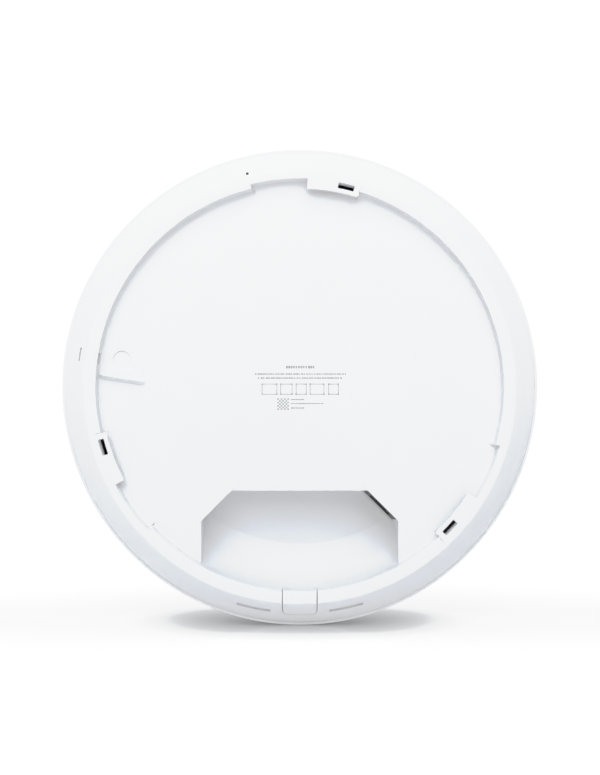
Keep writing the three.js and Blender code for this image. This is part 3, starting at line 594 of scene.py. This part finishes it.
def gate_section():
    """The gate's closed section as [radius, y]: outside face, then its thickness and tongue."""
    slope = seam_y / (seam_r - rim_outer)
    return np.array([
        [86.9, 0.3], [87.0, 0.09], [87.2, 0.0], [89.4, 0.0], *arc((rim_outer - 0.6, 1.45), 1.45, -90, -45, 4),
        [94.0, 1.8 * slope], [96.0, 3.8 * slope], [98.4, 6.2 * slope], [96.9, 7.6],
        [rim_outer - 0.83, rim_thick], [88.9, rim_thick], [88.9, 4.4], [86.55, 4.4]])


def gate_body():
    """The section at stations across the gate, x with z = -sqrt(r^2 - x^2). Near the two
    sides the outside face falls away in a quarter circle."""
    section = gate_section()
    edge = 0.28
    t = np.linspace(0, np.pi / 2, 5)
    near_side = gate_half - edge * (1 - np.cos(t[::-1]))
    x = np.r_[-near_side[::-1], np.linspace(-6.5, 6.5, 9), near_side]
    fall = edge - np.sqrt(np.maximum(edge ** 2 - np.maximum(np.abs(x) - gate_half + edge, 0) ** 2, 0))
    rings = np.empty((len(x), len(section), 3))
    rings[:, :, 0] = x[:, None]
    outside = np.arange(len(section)) < 12
    rings[:, :, 1] = section[None, :, 1] + fall[:, None] * outside
    rings[:, :, 2] = -np.sqrt(section[None, :, 0] ** 2 - x[:, None] ** 2)
    return rings


gate = solid("gate", gate_body())
combine(gate, solid("gate_trim", lofted(gate_outline(0.0), [[-1, 0], [9, 0]])), "INTERSECT")
gate.data.materials.clear()
gate.data.materials.append(white_cover)
shade(gate, 20)
fit(gate, "gate", "white_cover", "cable_gate")


# ---- Front cover ----
# The dome: one moulding whose section is a superellipse, with a hole for the light ring and
# six bumps that snap into the rear cover's spigot.

outer_r, dome_foot, dome_high, dome_thick, dome_hole, dome_power = 103.0, 10.0, 36.0, 2.2, 30.9, 2.3


def dome_curve(inset, steps):
    """Points [R cos(t)^(2/p), foot + H sin(t)] from the skirt to the hole."""
    r, high = outer_r - inset, dome_high - inset
    t = np.linspace(0, np.arccos((dome_hole / r) ** (dome_power / 2)), steps)
    return np.stack([r * np.cos(t) ** (2 / dome_power), dome_foot + high * np.sin(t)], -1)


outside, inside = dome_curve(0, 90), dome_curve(dome_thick, 45)
lip = [outside[-1] + [0.35, 0.02], outside[-1] + [0.1, 0.12], outside[-1] + [0.0, 0.36]]
skirt = [[outer_r - dome_thick, 9.9], [102.35, 9.9], [102.7, 9.96], [102.93, 10.2], [103.0, 10.7]]
shell = np.vstack([skirt, outside[outside[:, 1] > 11.0][:-1], lip, inside[::-1]])
front = solid("dome", turned(shell), closed=True)
for angle in range(30, 390, 60):
    combine(front, solid("snap_bump", lofted(sector(99.2, 101.3, angle - 3.1, angle + 3.1, 0),
                                             [[11.1, 0], [12.3, 0]])), "UNION")
front.data.materials.clear()
front.data.materials.append(white_cover)
shade(front, 14)
fit(front, "housing", "white_cover", "front_cover")


# ---- Light ring and centre cap ----
# A frosted ring that carries the lamps' light to the front, round a dished white cap. The cap
# has a skirt that stands on the lamp board.

frosted = Finish("frosted_ring", roughness=0.3, transmission_weight=0.12, ior=1.58)
haze = frosted.noise(160.0, 3.0)
frosted.drive("Base Color", frosted.blend(haze, (0.70, 0.76, 0.82, 1), (0.66, 0.72, 0.79, 1)))
frosted.bump(frosted.noise(2200.0, 2.0), 0.1, 0.00005)

ring_section = [[28.0, 37.4], [30.6, 37.4], *arc((30.25, 44.55), 0.35, 0, 90),
                *arc((28.35, 44.75), 0.35, 90, 180)]
light_ring = solid("diffuser_ring", turned(ring_section, 240), frosted.material, closed=True)
fit(light_ring, "housing", "diffuser", "light_ring")

cap_outer, cap_apex, cap_dish = 27.7, 46, 0.85
cap_r = np.linspace(1.0, 27.2, 24)
cap_top = np.stack([cap_r, cap_apex - cap_dish * (cap_r / cap_outer) ** 2], -1)
cap_side = [*arc((27.35, 44.83), 0.35, 70, 0), [cap_outer, 43.9], *arc((27.4, 43.85), 0.3, 0, -90, 3),
            [24.0, 43.55], [24.0, 37.3], [22.5, 37.3], [22.5, 44.4], [1.0, 44.4]]
cap = solid("dished_cap", turned(np.vstack([cap_top, cap_side]), 240), white_cover, bevel=20)
fit(cap, "housing", "white_cover", "centre_cap")


# ---- RJ45 jack ----
# A pressed steel shell with a black insert. Its face fills the pocket's upper right wall, and
# eight gold springs lie in its socket.

black_plastic = moulded("black_plastic", (0.018, 0.018, 0.020), (0.026, 0.026, 0.028), 0.38, 0.1)
core_half, core_back, core_foot = 7.3, 19.3, 23.6
face_half, face_top, face_foot, face_thick = 8.7, 6.6, 22.3, 1.8
socket, latch, brow = (5.9, 13.7, 20.7), (3.2, 12.4, 13.9), (7.4, 8.2, 11.4)
jack_front, socket_deep, latch_deep, brow_deep = 2.1, 13.0, 9.0, 1.0
open_front = -9
insert = solid("jack_body", slab(core_half, 12.0, face_foot, core_back, 0.0))
combine(insert, solid("jack_back", slab(core_half, 22.0, core_foot, core_back, jack_front)), "UNION")
combine(insert, solid("jack_face", slab(face_half, face_top, face_foot, face_thick)), "UNION")
combine(insert, solid("jack_socket", slab(*socket, jack_front + socket_deep, open_front)))
combine(insert, solid("jack_latch", slab(*latch, jack_front + latch_deep, open_front)))
combine(insert, solid("jack_brow", slab(*brow, brow_deep, open_front)))
insert.data.materials.clear()
insert.data.materials.append(black_plastic)
shade(insert, 20)
fit(insert, "housing", "black_plastic", "jack_insert")


# ---- Marks on the base plate ----
# Lines of small print, a row of symbols and a dotted square, pad printed in grey. They are
# plain dashes, dots and rectangles that say nothing.

def ink(name, dark, light):
    """Pad printing, a little uneven in its cover."""
    finish = Finish(name, roughness=0.55)
    cover = finish.noise(900.0)
    finish.drive("Base Color", finish.blend(cover, (dark, dark, dark, 1), (light, light, light, 1)))
    return finish.material


def bars(name, cells, material, y0, y1):
    """Closed boxes from rows of x0, x1, z0, z1, all from y0 to y1, as one mesh."""
    cells = np.asarray(cells, float)
    corner = np.array([(i, j, k) for j in (0, 1) for k in (0, 1) for i in (0, 1)])
    x, z = cells[:, :2][:, corner[:, 0]], cells[:, 2:][:, corner[:, 2]]
    y = np.broadcast_to(np.array([y0, y1])[corner[:, 1]], x.shape)
    points = np.stack([x, y, z], -1).reshape(-1, 3) * MM
    box = np.array([[0, 1, 3, 2], [4, 6, 7, 5], [0, 4, 5, 1], [2, 3, 7, 6], [0, 2, 6, 4], [1, 5, 7, 3]])
    faces = (box + 8 * np.arange(len(cells))[:, None, None]).reshape(-1, 4)
    mesh = bpy.data.meshes.new(name)
    mesh.from_pydata(points.tolist(), [], faces.tolist())
    mesh.materials.append(material)
    piece = bpy.data.objects.new(name, mesh)
    bpy.context.scene.collection.objects.link(piece)
    return piece


def print_line(start, end, z, high, pitch, dice):
    """Dashes of uneven length along a line, like small print seen from afar."""
    edges = np.arange(start, end, pitch)
    long = dice.uniform(0.45, 0.8, len(edges)) * pitch
    return np.stack([edges, edges + long, edges * 0 + z - high / 2, edges * 0 + z + high / 2], -1)


def frame_bars(x0, x1, z0, z1, line):
    """The four sides of a plain rectangle."""
    return [[x0, x1, z0, z0 + line], [x0, x1, z1 - line, z1],
            [x0, x0 + line, z0, z1], [x1 - line, x1, z0, z1]]


dice = np.random.default_rng(5)
words = [print_line(-5.9, 6.1, 8.67, 1.15, 1.05, dice),
         print_line(-19.2, 19.4, 5.67, 0.55, 1.1, dice), print_line(-17.9, 18.1, 3.95, 0.55, 1.1, dice),
         print_line(-3.7, 2.3, -5.3, 0.5, 1.0, dice), print_line(-3.7, 10.0, -7.0, 0.5, 1.0, dice),
         print_line(-3.7, 2.3, -8.9, 0.5, 1.0, dice)]
symbols = []
for x0, x1 in ((-16.4, -9.6), (-8.4, -3.1), (-1.8, 3.0), (4.2, 10.6), (12.2, 16.8)):
    symbols.append(frame_bars(x0, x1, -3.2, 1.6, 0.45))
square_x, square_z, dot_pitch, dot_wide, dots = -9.6, -9.7, 0.72, 0.6, 7
for row in range(dots):
    for column in range(row % 2, dots, 2):
        dot_x, dot_z = square_x + column * dot_pitch, square_z + row * dot_pitch
        words.append([[dot_x, dot_x + dot_wide, dot_z, dot_z + dot_wide]])
ink_thick, ink_root = 0.02, 0.2
for name, cells, material in (("base_print", words, ink("grey_print", 0.28, 0.40)),
                              ("base_symbols", symbols, ink("pale_print", 0.50, 0.62))):
    marks = bars(name, np.vstack(cells), material, recess_y - ink_thick, recess_y + ink_root)
    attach(marks, "housing")


# ---- Sheet metal ----
# The shell of the jack, the cans and the backing plate are tinned steel, and the screws and
# spacers are plated. The reflector and the heat sink are bright aluminium.

def metal(name, colour, shade_colour, rough, stretch):
    """Rolled metal: tone and roughness by a noise drawn out along X by a factor."""
    finish = Finish(name, metallic=1.0)
    along = finish.add("ShaderNodeMapping", {}, {"Vector": finish.place(), "Scale": (1, stretch, stretch)})
    grain = finish.add("ShaderNodeTexNoise", {}, {"Vector": along, "Scale": 90.0, "Detail": 4.0})
    finish.drive("Base Color", finish.blend(grain, (*colour, 1), (*shade_colour, 1)))
    finish.drive("Roughness", rough + 0.18 * (grain - 0.5))
    finish.bump(grain, 0.15, 0.00004)
    return finish.material


def coat(material, *names):
    """Gives carried-over nodes their material."""
    for name in names:
        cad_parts[name].data.materials.clear()
        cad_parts[name].data.materials.append(material)


steel = metal("tinned_steel", (0.62, 0.63, 0.65), (0.54, 0.55, 0.57), 0.30, 6.0)
aluminium = metal("bright_aluminium", (0.80, 0.81, 0.82), (0.72, 0.73, 0.75), 0.34, 12.0)
coat(steel, "jack_shell", "backing_plate", "fan_shaft",
     *[f"shield_can_{side}" for side in ("left", "right", "top")],
     *[f"{kind}_{i}" for kind in ("spacer", "reflector_screw", "board_screw") for i in range(1, 5)],
     *[f"{kind}_{i}" for kind in ("fan_screw", "heat_sink_screw") for i in range(1, 3)])
coat(aluminium, "reflector_plate", "heat_sink", "capacitor_a", "capacitor_b")
brass = metal("gold_flash", (0.83, 0.64, 0.33), (0.74, 0.55, 0.27), 0.26, 4.0)
coat(brass, "jack_contacts",
     *[f"antenna_{band}_{side}" for band in ("2g", "5g", "6g") for side in ("left", "right")])


# ---- Boards and what they carry ----
# The main board is dark blue laminate with traces under its mask. Chips and transformers are
# moulded epoxy, the pads are grey silicone and the stator is wound with enamelled wire.

laminate = Finish("circuit_board", roughness=0.42, coat_weight=0.25, coat_roughness=0.2)
cell = laminate.add("ShaderNodeTexVoronoi", {"feature": "DISTANCE_TO_EDGE", "distance": "EUCLIDEAN"},
                    {"Vector": laminate.place(), "Scale": 210.0}, "Distance")
trace = 1 - cell.above(0.10)
laminate.drive("Base Color", laminate.blend(trace, (0.012, 0.030, 0.085, 1), (0.022, 0.062, 0.150, 1)))
laminate.bump(trace, 0.2, 0.00003)
coat(laminate.material, "main_board")
coat(moulded("lamp_board", (0.74, 0.75, 0.74), (0.68, 0.69, 0.69), 0.5, 0.05), "led_board")
coat(moulded("chip_epoxy", (0.030, 0.031, 0.034), (0.050, 0.051, 0.055), 0.5, 0.2), "reset_button",
     "processor", "memory_chip", "flash_chip", "lan_transformer", "power_transformer", "inductor")
coat(moulded("silicone_pad", (0.34, 0.45, 0.55), (0.28, 0.38, 0.48), 0.8, 0.3), "thermal_pad_middle",
     "thermal_pad_left", "thermal_pad_right")
coat(black_plastic, "ring_holder", "reset_switch", "fan_frame", "fan_rotor")

winding = Finish("enamelled_wire", metallic=0.8)
turns = winding.add("ShaderNodeTexWave", {"bands_direction": "Y", "wave_profile": "SIN"},
                    {"Vector": winding.place(), "Scale": 700.0, "Distortion": 0.6})
winding.drive("Base Color", winding.blend(turns, (0.20, 0.07, 0.02, 1), (0.62, 0.28, 0.11, 1)))
winding.drive("Roughness", 0.5 - turns * 0.2)
winding.bump(turns, 0.5, 0.0001)
coat(winding.material, "fan_stator")


# ---- Picture ----
# The camera's tone curve holds the whites apart.

look = bpy.context.scene.view_settings
look.view_transform = "Standard"
look.use_curve_mapping = True
brightest, combined = 2.0, 3
look.curve_mapping.white_level = (brightest, brightest, brightest)
tone_curve = look.curve_mapping.curves[combined].points
tone_curve[0].location, tone_curve[1].location = (0, 0), (1, 1)
for lit_tone, shown_tone in ((0.45, 0.43), (0.62, 0.56), (0.76, 0.68), (0.87, 0.85), (1.0, 0.903),
                             (1.15, 0.94), (1.45, 1.0)):
    tone_curve.new(lit_tone / brightest, shown_tone)
look.curve_mapping.update()
